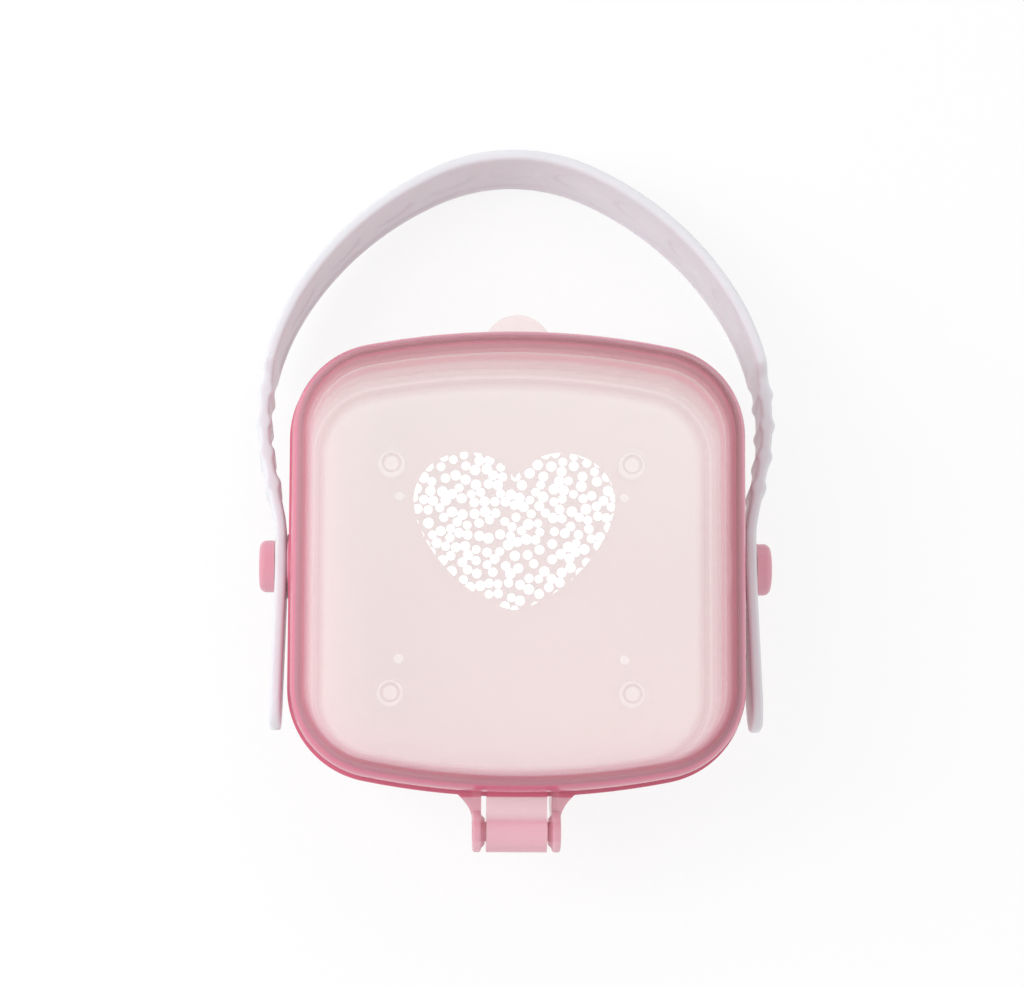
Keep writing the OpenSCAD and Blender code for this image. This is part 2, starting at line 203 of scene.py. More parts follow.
def bottomFace(piece):
    # its index is kept, not the face, because a change of mode moves the mesh in memory
    lowest = min(piece.data.polygons, key=lambda f: (f.center.z, -f.area)).index
    pickFaces(piece, lambda f: f.index == lowest)


base = {
    "seamZ": 26 * mm, "footH": 1.2 * mm, "wall": 1.4 * mm,
    "rimOver": 1.9 * mm, "rimT": 2.2 * mm, "rimBevel": 0.5 * mm,
    "draft": math.radians(2.5), "floorR": 3.2 * mm,
    "lipH": 2.5 * mm, "lipOut": 2.1 * mm, "lipBevel": 0.5 * mm,
    "footDx": 41.8 * mm, "footDy": 39.8 * mm, "footR": 2.9 * mm, "footEdge": 0.6 * mm,
    "dimpleR": 1.8 * mm,
    "ventDx": 39 * mm, "ventDy": 28.2 * mm, "ventR": 0.85 * mm,
    "filletSteps": 8,
}
hinge = {
    "barrelR": 3.4 * mm, "barrelW": 9.95 * mm, "cheekGap": 0.8 * mm, "cheekT": 1.45 * mm,
    "cheekDrop": 11 * mm, "pinR": 1.6 * mm, "boreR": 1.65 * mm, "armT": 2.3 * mm,
    "flareW": 2.4 * mm, "flareL": 4.3 * mm, "edgeR": 0.5 * mm, "bossR": 2.8 * mm,
    "filletR": 1.6 * mm,
}
tab = {"radius": 5.8 * mm, "out": 3.5 * mm, "thick": 1.4 * mm, "below": 0.4 * mm,
       "tick": (0.5 * mm, 2.2 * mm, 0.3 * mm), "edge": 0.25 * mm}
stud = {
    "padR": 5.45 * mm, "padOut": 0.35 * mm, "neckR": 2.3 * mm,
    "headR": 4.35 * mm, "headT": 2.55 * mm, "headEdge": 1.2 * mm, "strapRoom": 2.1 * mm,
}


def makeTub():
    lean = math.tan(base["draft"])
    wallX = base["wall"] / math.cos(base["draft"])
    rimZ = base["seamZ"] - base["rimT"]
    filletZ = base["footH"] + base["floorR"]
    filletG = base["rimOver"] + lean * (base["seamZ"] - filletZ) + base["floorR"] / math.cos(base["draft"])
    draftDeg = math.degrees(base["draft"])
    under = [(0, base["seamZ"]), (0, rimZ + base["rimBevel"]), (base["rimBevel"], rimZ),
             (base["rimOver"] + lean * base["rimT"], rimZ)]
    under += arcPoints((filletG, filletZ), base["floorR"], -draftDeg, -90, base["filletSteps"])
    lipTop = base["seamZ"] + base["lipH"]
    lipIn = base["rimOver"] + wallX
    over = [(0, base["seamZ"]), (base["lipOut"], base["seamZ"]),
            (base["lipOut"], lipTop - base["lipBevel"]),
            (base["lipOut"] + base["lipBevel"], lipTop), (lipIn, lipTop), (lipIn + 1e-6, base["seamZ"])]
    over += arcPoints((filletG, filletZ), base["floorR"] - base["wall"], -draftDeg, -90,
                      base["filletSteps"])
    tub = addDisc(outlineRing(0), base["seamZ"], "tub")
    editPiece(tub)
    bpy.ops.mesh.select_all(action="SELECT")
    bpy.ops.mesh.flip_normals()
    followProfile(under, -1)
    bpy.ops.object.mode_set(mode="OBJECT")
    top = max(tub.data.polygons, key=lambda f: (round(f.center.z, 7), f.area)).index
    pickFaces(tub, lambda f: f.index == top)
    followProfile(over, 1)
    clearSelection()
    return tub


def makeCheek():
    # the plate's round end with its boss, and a web that runs down the back wall
    x0, thick, edge = hinge["barrelW"] / 2 + hinge["cheekGap"], hinge["cheekT"], hinge["edgeR"]
    rimY = caseY - plan["length"] / 2
    inside = rimY + base["rimOver"] + base["wall"] / 2
    footZ = base["seamZ"] - base["rimT"] - hinge["cheekDrop"]
    plate = addRod(hinge["barrelR"], thick, (x0, hingeY, hingeZ), "X", 96, "cheek")
    pickEdges(plate, lambda a, b: abs(a.x - b.x) < 1e-7)
    bpy.ops.mesh.bevel(offset=edge, segments=5, profile=0.5, affect="EDGES")
    bossL = hinge["cheekGap"] * 0.7
    clearSelection()
    bpy.ops.mesh.primitive_cone_add(vertices=96, radius1=hinge["bossR"], radius2=hinge["boreR"] + edge,
                                    depth=bossL + 0.01 * mm, rotation=(0, -math.pi / 2, 0),
                                    location=(x0 - bossL / 2 + 0.005 * mm, hingeY, hingeZ))
    boss = settle(bpy.context.active_object, "boss")
    bpy.ops.mesh.primitive_cube_add(size=1, location=(x0 + thick / 2, 0, 0))
    web = bpy.context.active_object
    web.scale.x = thick
    settle(web, "web")
    corners = {(-1, 1): (hingeY, hingeZ), (-1, -1): (hingeY, hingeZ - hinge["barrelR"] + edge),
               (1, -1): (inside + math.tan(base["draft"]) * hinge["cheekDrop"], footZ),
               (1, 1): (inside, base["seamZ"])}
    for vert in web.data.vertices:
        y, z = corners[(1 if vert.co.y > 0 else -1, 1 if vert.co.z > 0 else -1)]
        vert.co.y, vert.co.z = y, z
    return combine(plate, [web, boss])


def extrudeUp(points, z, height, name):
    # a prism over a closed outline
    prism = addDisc(points, z, name)
    editPiece(prism)
    bpy.ops.mesh.select_all(action="SELECT")
    bpy.ops.mesh.extrude_region_move(TRANSFORM_OT_translate={"value": (0, 0, height)})
    bpy.ops.mesh.select_all(action="SELECT")
    bpy.ops.mesh.normals_make_consistent(inside=False)
    clearSelection()
    return prism


def makeFlare():
    # the concave web between a cheek and the rim
    x0 = hinge["barrelW"] / 2 + hinge["cheekGap"] + hinge["cheekT"] - 0.01 * mm
    wide, long = hinge["flareW"], hinge["flareL"]
    crownY = plan["length"] / 2 - plan["crownR"]
    rimY = caseY - crownY - math.sqrt(plan["crownR"] ** 2 - (x0 + wide) ** 2)
    depth = long + base["rimOver"] / 2
    points = [(wide * (i / 12) ** 2, long * i / 12) for i in range(13)] + [(wide, depth), (0, depth)]
    return extrudeUp([(x0 + x, rimY - long + y) for x, y in points],
                     base["seamZ"] - base["rimT"], base["rimT"], "flare")


def makeStud():
    below = base["seamZ"] - studZ + stud["padR"]
    root = plan["width"] / 2 - base["rimOver"] - math.tan(base["draft"]) * below - base["wall"] * 0.3
    padFace = plan["width"] / 2 + stud["padOut"]
    headFace = padFace + stud["strapRoom"]
    pad = addRod(stud["padR"], padFace - root, (root, caseY, studZ), "X", 96, "stud", 0.2 * mm, 3)
    neck = addRod(stud["neckR"], headFace - root + 0.1 * mm, (root, caseY, studZ), "X", 64, "neck")
    head = addRod(stud["headR"], stud["headT"], (headFace, caseY, studZ), "X", 96, "head",
                  stud["headEdge"], 8)
    return combine(pad, [neck, head])


def makeTab():
    top = base["seamZ"] - tab["below"]
    rimY = caseY + plan["length"] / 2
    disc = addRod(tab["radius"], tab["thick"], (0, rimY + tab["out"] - tab["radius"], top - tab["thick"]),
                  "Z", 96, "tab", tab["edge"], 3)
    editPiece(disc)
    bpy.ops.mesh.select_all(action="SELECT")
    bpy.ops.mesh.bisect(plane_co=(0, rimY - base["rimOver"] / 2, top), plane_no=(0, 1, 0),
                        use_fill=True, clear_inner=True)
    clearSelection()
    x, y, z = tab["tick"]
    bpy.ops.mesh.primitive_cube_add(size=1, location=(0, rimY + tab["out"] / 2, top + z / 2 - 0.05 * mm))
    tick = bpy.context.active_object
    tick.scale = (x, y, z)
    return combine(disc, [settle(tick, "tick")])


def makeBase():
    shell = makeTub()
    studR = makeStud()
    cheek = makeCheek()
    flare = makeFlare()
    parts = [cheek, copyMirrored(cheek), flare, copyMirrored(flare), studR, copyMirrored(studR), makeTab()]
    cuts = []
    for sx in (-1, 1):
        for sy in (-1, 1):
            x, y = sx * base["footDx"] / 2, caseY + sy * base["footDy"] / 2
            foot = addRod(base["footR"], base["footH"] + base["wall"] / 2,
                          (x, y, -base["footH"] - base["wall"] / 2), "Z", 64, "foot", base["footEdge"], 4)
            foot.scale.z = -1
            settle(foot, "foot")
            editPiece(foot)
            bpy.ops.mesh.select_all(action="SELECT")
            bpy.ops.mesh.normals_make_consistent(inside=False)
            clearSelection()
            parts.append(foot)
            bpy.ops.mesh.primitive_uv_sphere_add(segments=48, ring_count=24, radius=base["dimpleR"],
                                                 location=(x, y, base["footH"] + base["wall"]))
            cuts.append(settle(bpy.context.active_object, "dimple"))
            cuts.append(addRod(base["ventR"], base["wall"] * 3,
                               (sx * base["ventDx"] / 2, caseY + sy * base["ventDy"] / 2,
                                base["footH"] - base["wall"]), "Z", 48, "vent"))
    reach = hinge["barrelW"]
    cuts.append(addRod(hinge["boreR"], 2 * reach, (-reach, hingeY, hingeZ), "X", 64, "bore"))
    combine(shell, parts)
    combine(shell, cuts, "DIFFERENCE")
    smoothUnder(shell, 32)
    shell.name = shell.data.name = "baseMoulding"
    return shell


lid = {
    "z": 26.1 * mm, "height": 16.94 * mm, "step": 0.55 * mm, "wall": 1.4 * mm,
    "shoulderR": 10 * mm, "crownR": 24 * mm, "faceEdge": 1.5 * mm,
    "shoulderSteps": 12, "crownSteps": 8,
}


def lidSection(inset):
    # from the lid's edge to its flat face: wall, shoulder arc, crown arc
    crownZ = lid["height"] - lid["crownR"]
    shoulderX = plan["cornerR"] - lid["step"] - lid["shoulderR"]
    shoulderZ = crownZ + math.sqrt((lid["crownR"] - lid["shoulderR"]) ** 2 - shoulderX ** 2)
    lean = math.degrees(math.atan2(shoulderZ - crownZ, shoulderX))
    faceAt = math.degrees(math.acos(lid["faceEdge"] / (lid["crownR"] - inset)))
    section = [(lid["step"] + inset, lid["z"])]
    section += arcPoints((plan["cornerR"] - shoulderX, lid["z"] + shoulderZ), lid["shoulderR"] - inset,
                         0, lean, lid["shoulderSteps"])
    section += arcPoints((plan["cornerR"], lid["z"] + crownZ), lid["crownR"] - inset,
                         lean, faceAt, lid["crownSteps"])[1:]
    return section


def makeDome():
    outer = lidSection(0)
    inner = lidSection(lid["wall"])
    dome = addDisc(outlineRing(lid["step"]), lid["z"], "dome")
    editPiece(dome)
    bpy.ops.mesh.select_all(action="SELECT")
    followProfile(outer, 1)
    bpy.ops.object.mode_set(mode="OBJECT")
    bottomFace(dome)
    bpy.ops.mesh.inset(thickness=lid["wall"], depth=0, use_even_offset=True)
    followProfile(inner, -1)
    clearSelection()
    return dome


def makeHingeArm():
    # barrel and arm as one section, with a hollow fillet between their tops
    root = caseY - plan["length"] / 2 + lid["step"] + lid["wall"] / 2
    r, fillet, top = hinge["barrelR"], hinge["filletR"], lid["z"] + hinge["armT"]
    rise = top + fillet - hingeZ
    away = math.sqrt((r + fillet) ** 2 - rise ** 2)  # the fillet's centre beside the barrel's
    meet = math.atan2(rise, away)
    start = math.asin((lid["z"] - hingeZ) / r)
    section = []
    for i in range(72):
        a = meet + (2 * math.pi + start - meet) * i / 71
        section.append((hingeY + r * math.cos(a), hingeZ + r * math.sin(a)))
    section += [(root, lid["z"]), (root, top)]
    for i in range(9):
        a = -math.pi / 2 - (math.pi / 2 - meet) * i / 8
        section.append((hingeY + away + fillet * math.cos(a), top + fillet + fillet * math.sin(a)))
    arm = extrudeUp([(z, y) for y, z in section[:-1]], -hinge["barrelW"] / 2, hinge["barrelW"], "arm")
    arm.rotation_euler = (0, -math.pi / 2, 0)
    return settle(arm, "arm")


def makeLid():
    shell = makeDome()
    pinEnd = hinge["barrelW"] / 2 + hinge["cheekGap"] + hinge["cheekT"] * 0.8
    pins = addRod(hinge["pinR"], 2 * pinEnd, (-pinEnd, hingeY, hingeZ), "X", 64, "pins")
    combine(shell, [combine(makeHingeArm(), [pins])])
    smoothUnder(shell, 32)
    shell.name = shell.data.name = "lidMoulding"
    return shell


heart = {
    "middle": (-1.12 * mm, 8.47 * mm), "lobe": 7.65 * mm, "lobeSize": (8.6 * mm, 7.9 * mm),
    "bottom": 17.6 * mm, "bowl": 1.7, "dotR": 0.8 * mm, "spread": 0.12, "apart": 1.42 * mm, "tries": 6000,
    "sunk": 0.01 * mm, "above": 0.02 * mm, "sides": 20, "steps": 28, "seed": 11,
}


def heartOutline():
    # two elliptic lobes over a bowl that narrows to a blunt tip
    lobe, (wide, high) = heart["lobe"], heart["lobeSize"]
    start = math.acos(-lobe / wide)
    right = []
    for i in range(heart["steps"]):
        a = start * (1 - i / heart["steps"])
        right.append((lobe + wide * math.cos(a), high * math.sin(a)))
    for i in range(heart["steps"]):
        drop = math.sin(math.pi / 2 * i / heart["steps"])
        right.append(((lobe + wide) * (1 - drop ** heart["bowl"]) ** (2 / 3), -drop * heart["bottom"]))
    left = [(-x, y) for x, y in reversed(right[1:])]
    return right + [(0, -heart["bottom"])] + left


def scatterSpots(rng):
    # random spots that keep a little less than a dot's width apart
    reach, spots = heart["lobe"] + heart["lobeSize"][0], []
    for _ in range(heart["tries"]):
        x, y = rng.uniform(-reach, reach), rng.uniform(-heart["bottom"], heart["lobeSize"][1])
        if all(math.hypot(x - a, y - b) > heart["apart"] for a, b in spots):
            spots.append((x, y))
    return spots


def makeHeart():
    # a flat sheet of dots, trimmed to the heart
    rng = random.Random(heart["seed"])
    faceZ = max(z for _, z in lidSection(0))
    thick = heart["above"] + heart["sunk"]
    x0, y0 = heart["middle"][0], caseY + heart["middle"][1]
    dots = []
    for x, y in scatterSpots(rng):
        radius = heart["dotR"] * (1 + rng.uniform(-heart["spread"], heart["spread"]))
        place = (x0 + x, y0 + y, faceZ - heart["sunk"])
        dots.append(addRod(radius, thick, place, "Z", heart["sides"], "dot"))
    trim = extrudeUp([(x0 + x, y0 + y) for x, y in reversed(heartOutline())], faceZ - 1 * mm, 2 * mm, "trim")
    clearSelection()
    for dot in dots:
        dot.select_set(True)
    bpy.context.view_layer.objects.active = dots[0]
    bpy.ops.object.join()
    modifier = dots[0].modifiers.new("Trim", "BOOLEAN")
    modifier.operation = "INTERSECT"
    modifier.solver = "EXACT"
    modifier.use_self = True
    modifier.object = trim
    bpy.ops.object.modifier_apply(modifier=modifier.name)
    bpy.data.objects.remove(trim)
    return settle(dots[0], "heartPrint")


strap = {
    "reach": 72.4 * mm, "thick": 1.9 * mm, "gripW": 15 * mm, "legW": 10 * mm,
    "gripStart": 32.5 * mm, "gripTaper": 2.5 * mm, "edgeR": 0.7 * mm, "tail": 27.8 * mm,
    "apexR": 30 * mm, "apexTurn": 25.5, "shoulderEnd": 60, "legLean": 12, "leanRun": 9 * mm,
    "waistR": 18 * mm, "seatHalf": 4.2 * mm, "tailLean": 1.5, "gap": 0.1 * mm,
    "channel": 0.35 * mm, "bead": 1.6 * mm, "restGap": 0.3 * mm, "holeR": 2.35 * mm,
    "ribs": 4, "ribPitch": 5.5 * mm, "ribStart": 13.3 * mm,
    "ribL": 1.6 * mm, "ribH": 0.43 * mm, "ribSoft": 0.7 * mm,
    "ovalPitch": 11.6 * mm, "ovalL": 9.4 * mm, "ovalW": 6.4 * mm, "ovalD": 0.3 * mm, "ovals": 4,
    "step": 0.45 * mm, "ring": 56, "tip": 0.02 * mm,
}


def sinD(a):
    return math.sin(math.radians(a))


def cosD(a):
    return math.cos(math.radians(a))


def strapRuns():
    # runs of (turn radius, turn in degrees), or (0, length), up the leg and down the tail
    seatX = plan["width"] / 2 + stud["padOut"] + strap["gap"] + strap["thick"] / 2
    lean = strap["legLean"]
    leanX = seatX + strap["waistR"] * (1 - cosD(lean)) + strap["leanRun"] * sinD(lean)
    leanY = strap["seatHalf"] + strap["waistR"] * sinD(lean) + strap["leanRun"] * cosD(lean)
    turn, end, hip = strap["apexTurn"], strap["shoulderEnd"], 90 + lean
    spanX = leanX - strap["apexR"] * sinD(turn)
    spanY = strap["reach"] - strap["thick"] / 2 - leanY - strap["apexR"] * (1 - cosD(turn))
    shX, shY = sinD(end) - sinD(turn), cosD(turn) - cosD(end)
    hipX, hipY = sinD(hip) - sinD(end), cosD(end) - cosD(hip)
    closing = shX * hipY - hipX * shY
    shoulderR = (spanX * hipY - hipX * spanY) / closing
    hipR = (shX * spanY - shY * spanX) / closing
    leg = [(0, strap["seatHalf"]), (strap["waistR"], -lean), (0, strap["leanRun"]),
           (hipR, hip - end), (shoulderR, end - turn), (strap["apexR"], turn)]
    tailRun = strap["tail"] - strap["seatHalf"] - strap["waistR"] * sinD(strap["tailLean"])
    tail = [(0, strap["seatHalf"]), (strap["waistR"], -strap["tailLean"]),
            (0, tailRun / cosD(strap["tailLean"]))]
    return seatX, leg, tail


def runLength(run):
    return run[1] if run[0] == 0 else run[0] * abs(math.radians(run[1]))


def poseAlong(path, distance, x):
    y, heading = 0, 0
    for radius, amount in path:
        length = runLength((radius, amount))
        part = min(distance, length) if (radius, amount) != path[-1] else distance
        if radius == 0:
            x, y = x - part * sinD(heading), y + part * cosD(heading)
        else:
            s = 1 if amount > 0 else -1
            turned = heading + s * math.degrees(part / radius)
            cx, cy = x - s * radius * cosD(heading), y - s * radius * sinD(heading)
            x, y = cx + s * radius * cosD(turned), cy + s * radius * sinD(turned)
            heading = turned
        distance -= part
        if distance <= 1e-12:
            break
    return x, y, heading


def smoothStep(value, start, end):
    t = min(1, max(0, (value - start) / (end - start)))
    return t * t * (3 - 2 * t)


def strapSection(u, apex):
    # ring of (outwards, across) at a distance u from the stud, evenly spread round the section
    grip0 = strap["gripStart"]
    r = strap["legW"] / 2
    toEnd = strap["tail"] + u + strap["tip"]
    w = math.sqrt(r * r - max(0, r - toEnd) ** 2)
    w += (strap["gripW"] - strap["legW"]) / 2 * smoothStep(u, grip0, grip0 + strap["gripTaper"])
    ribs = [1 - smoothStep(abs(u - strap["ribStart"] - i * strap["ribPitch"]),
                           strap["ribL"] / 2 - strap["ribSoft"], strap["ribL"] / 2 + strap["ribSoft"])
            for i in range(strap["ribs"])]
    blunt = max(0, 1 - toEnd / strap["edgeR"])  # the tail's end is rounded over its edge too
    t = strap["thick"] / 2 * math.sqrt(1 - blunt * blunt) + strap["ribH"] * max(ribs)
    e = min(strap["edgeR"], w / 3, t * 0.9)
    channel = strap["channel"] * smoothStep(u, grip0 + strap["gripTaper"], grip0 + 2 * strap["gripTaper"])
    toApex = apex - u
    k = round(toApex / strap["ovalPitch"])
    along = (toApex - k * strap["ovalPitch"]) / (strap["ovalL"] / 2) if abs(k) <= strap["ovals"] else 2
    ring = []
    n = strap["ring"] // 4
    half = []
    for i in range(n):  # the outer face, from its middle to the edge's start
        half.append((t, (w - e) * i / n))
    for i in range(6):
        a = i * 90 / 5
        half.append((t - e + e * cosD(a), w - e + e * sinD(a)))
    for i in range(6):
        a = i * 90 / 5
        half.append((-t + e - e * sinD(a), w - e + e * cosD(a)))
    for i in range(2 * n):
        v = (w - e) * (1 - (i + 1) / (2 * n))
        depth = channel * smoothStep(w - v, strap["bead"], strap["bead"] + 0.5 * mm)
        oval = math.hypot(along, v / (strap["ovalW"] / 2))
        depth += strap["ovalD"] * (1 - smoothStep(oval, 0.8, 1.0)) if channel > 0 else 0
        half.append((depth - t, v))
    other = [(q, -v) for q, v in reversed(half[1:-1])]
    ring = half + other
    return ring


def makeStrap():
    seatX, leg, tail = strapRuns()
    apex = sum(map(runLength, leg))
    stations = []
    r = strap["legW"] / 2
    for i in range(13):
        stations.append(r * (i / 12) ** 2 - strap["tail"])
    count = int((apex - stations[-1]) / strap["step"])
    start = stations[-1]
    stations += [start + (apex - start) * (i + 1) / count for i in range(count)]
    rings = []
    tilt = gripDroop()
    for side in (1, -1):
        order = stations if side == 1 else list(reversed(stations[:-1]))
        for u in order:
            if u >= 0:
                x, y, heading = poseAlong(leg, u, seatX)
            else:
                x, y, heading = poseAlong(tail, -u, seatX)
                y, heading = -y, -heading
            ring = []
            for q, v in strapSection(u, apex):
                px = side * (x + q * cosD(heading))
                py = y + q * sinD(heading)
                ring.append((px, caseY + py * math.cos(tilt) + v * math.sin(tilt),
                             studZ - py * math.sin(tilt) + v * math.cos(tilt)))
            rings.append(ring)
    clearSelection()
    across, along = len(rings[0]) + 1, len(rings)
    bpy.ops.mesh.primitive_grid_add(x_subdivisions=across - 1, y_subdivisions=along - 1, size=1)
    band = bpy.context.active_object
    for index, vert in enumerate(band.data.vertices):  # the grid is rolled into a closed tube
        vert.co = rings[index // across][index % across % (across - 1)]
    settle(band, "strap")
    editPiece(band, "VERT")
    bpy.ops.mesh.select_all(action="SELECT")
    bpy.ops.mesh.remove_doubles(threshold=1e-7)
    bpy.ops.mesh.select_all(action="DESELECT")
    bpy.ops.mesh.select_mode(type="EDGE")
    bpy.ops.mesh.select_non_manifold()
    bpy.ops.mesh.fill_holes(sides=0)
    bpy.ops.mesh.select_all(action="SELECT")
    bpy.ops.mesh.normals_make_consistent(inside=False)
    clearSelection()
    hole = addRod(strap["holeR"], 4 * seatX, (-2 * seatX, caseY, studZ), "X", 64, "hole")
    combine(band, [hole], "DIFFERENCE")
    smoothUnder(band, 40)
    band.name = band.data.name = "strapBand"
    return band


def gripDroop():
    half = math.hypot(strap["reach"], strap["gripW"] / 2)
    return math.asin((studZ - strap["restGap"]) / half) - math.atan2(strap["gripW"] / 2, strap["reach"])


def newMaterial(name):
    material = bpy.data.materials.new(name)
    material.use_nodes = True
    nodes, links = material.node_tree.nodes, material.node_tree.links
    return material, nodes, links, nodes["Principled BSDF"]


def mouldedGrain():
    # fine moulded skin: slight waviness and a faint grain, as a normal and a roughness
    group = bpy.data.node_groups.new("mouldedGrain", "ShaderNodeTree")
    sockets = {"Grain Scale": 2500.0, "Wave Scale": 120.0, "Strength": 0.1, "Roughness": 0.2}
    for name, value in sockets.items():
        socket = group.interface.new_socket(name, in_out="INPUT", socket_type="NodeSocketFloat")
        socket.default_value = value
    group.interface.new_socket("Normal", in_out="OUTPUT", socket_type="NodeSocketVector")
    group.interface.new_socket("Roughness", in_out="OUTPUT", socket_type="NodeSocketFloat")
    group.interface.new_socket("Cloud", in_out="OUTPUT", socket_type="NodeSocketFloat")
    nodes, links = group.nodes, group.links
    inputs, outputs = nodes.new("NodeGroupInput"), nodes.new("NodeGroupOutput")
    place = nodes.new("ShaderNodeTexCoord")
    grain, wave = nodes.new("ShaderNodeTexNoise"), nodes.new("ShaderNodeTexNoise")
    mix = nodes.new("ShaderNodeMath")
    mix.operation = "MULTIPLY_ADD"
    mix.inputs[1].default_value = 6.0
    bump = nodes.new("ShaderNodeBump")
    bump.inputs["Distance"].default_value = 0.00004
    spread = nodes.new("ShaderNodeMapRange")
    rough = nodes.new("ShaderNodeMath")
    rough.operation = "ADD"
    spread.inputs["To Min"].default_value = -0.03
    spread.inputs["To Max"].default_value = 0.03
    links.new(place.outputs["Object"], grain.inputs["Vector"])
    links.new(place.outputs["Object"], wave.inputs["Vector"])
    links.new(inputs.outputs["Grain Scale"], grain.inputs["Scale"])
    links.new(inputs.outputs["Wave Scale"], wave.inputs["Scale"])
    links.new(wave.outputs["Fac"], mix.inputs[0])
    links.new(grain.outputs["Fac"], mix.inputs[2])
    links.new(mix.outputs[0], bump.inputs["Height"])
    links.new(inputs.outputs["Strength"], bump.inputs["Strength"])
    links.new(wave.outputs["Fac"], spread.inputs["Value"])
    links.new(spread.outputs["Result"], rough.inputs[0])
    links.new(inputs.outputs["Roughness"], rough.inputs[1])
    links.new(bump.outputs["Normal"], outputs.inputs["Normal"])
    links.new(rough.outputs[0], outputs.inputs["Roughness"])
    links.new(wave.outputs["Fac"], outputs.inputs["Cloud"])
    return group


pinkPlastic = {
    # the dimple stops darken the steep walls of the foot dimples: painted shade in the recesses
    "basePink": {"heights": ((1.25, "face"), (1.4, "dimple"), (2.2, "dimple"), (2.5, "face"), (3.6, "low"),
                             (10, "middle"), (19, "high"), (24, "rim"), (26.2, "rim"), (27, "lip")),
                 "strength": 0.06, "behind": "hinge"},
    "lidPink": {"heights": ((35.8, "rim"), (36.8, "shoulder"), (38.4, "crown"), (42.2, "face")),
                "strength": 0.05, "behind": "arm"},
    "face": (1.0, 0.66, 0.59), "crown": (1.0, 0.66, 0.70), "shoulder": (0.84, 0.43, 0.51),
    "rim": (0.79, 0.19, 0.30), "lip": (0.78, 0.38, 0.45), "high": (0.88, 0.52, 0.57),
    "middle": (0.94, 0.64, 0.66), "low": (0.97, 0.68, 0.68), "dimple": (0.84, 0.60, 0.62),
    "outer": (0.82, 0.35, 0.44), "tab": (0.95, 0.74, 0.71),
    "hinge": (0.88, 0.47, 0.55), "arm": (0.93, 0.60, 0.66),
    "cover": {"face": 0.065, "crown": 0.22, "shoulder": 0.5, "rim": 0.85, "lip": 0.65, "high": 0.55,
              "middle": 0.4, "low": 0.28, "dimple": 0.28, "outer": 0.75, "tab": 0.25,
              "hinge": 0.68, "arm": 0.5},
    "besideFade": (0.05 * mm, 0.25 * mm), "edgeFade": 0.2 * mm, "armFade": (4.2 * mm, 3.4 * mm),
    # the back tint and its cover make the plastic darker and pinker towards the back: painted shade
    "back": (0.95, 0.87, 0.90), "backCover": 0.025, "cloud": 0.02, "rough": 0.15, "ior": 1.49,
}


def blendColours(nodes, first, second):
    mix = nodes.new("ShaderNodeMix")
    mix.data_type = "RGBA"
    mix.inputs[6].default_value = (*first, 1)
    mix.inputs[7].default_value = (*second, 1)
    return mix


def rampAlong(nodes, links, source, start, end, low=0, high=1):
    # a value that eases from low to high along one object coordinate
    ramp = nodes.new("ShaderNodeMapRange")
    ramp.interpolation_type = "SMOOTHSTEP"
    for socket, value in (("From Min", start), ("From Max", end), ("To Min", low), ("To Max", high)):
        ramp.inputs[socket].default_value = value
    links.new(source, ramp.inputs["Value"])
    return ramp.outputs["Result"]


def heightColours(nodes, links, height, stops):
    # colours at heights in mm, eased from one to the next
    scale = 50 * mm
    share = nodes.new("ShaderNodeMath")
    share.operation = "DIVIDE"
    share.inputs[1].default_value = scale
    links.new(height, share.inputs[0])
    ramp = nodes.new("ShaderNodeValToRGB")
    ramp.color_ramp.interpolation = "EASE"
    marks = ramp.color_ramp.elements
    marks.remove(marks[1])
    for index, (z, colour) in enumerate(stops):
        mark = marks[0] if index == 0 else marks.new(z * mm / scale)
        mark.position, mark.color = z * mm / scale, (*colour, 1)
    links.new(share.outputs[0], ramp.inputs["Fac"])
    return ramp.outputs["Color"]


def layColour(nodes, links, under, over, mask, how="MIX"):
    # a colour laid over another where the mask is 1
    mix = blendColours(nodes, over, over)
    mix.blend_type = how
    links.new(under, mix.inputs[6])
    links.new(mask, mix.inputs[0])
    return mix.outputs[2]


def absolute(nodes, links, source):
    size = nodes.new("ShaderNodeMath")
    size.operation = "ABSOLUTE"
    links.new(source, size.inputs[0])
    return size.outputs[0]


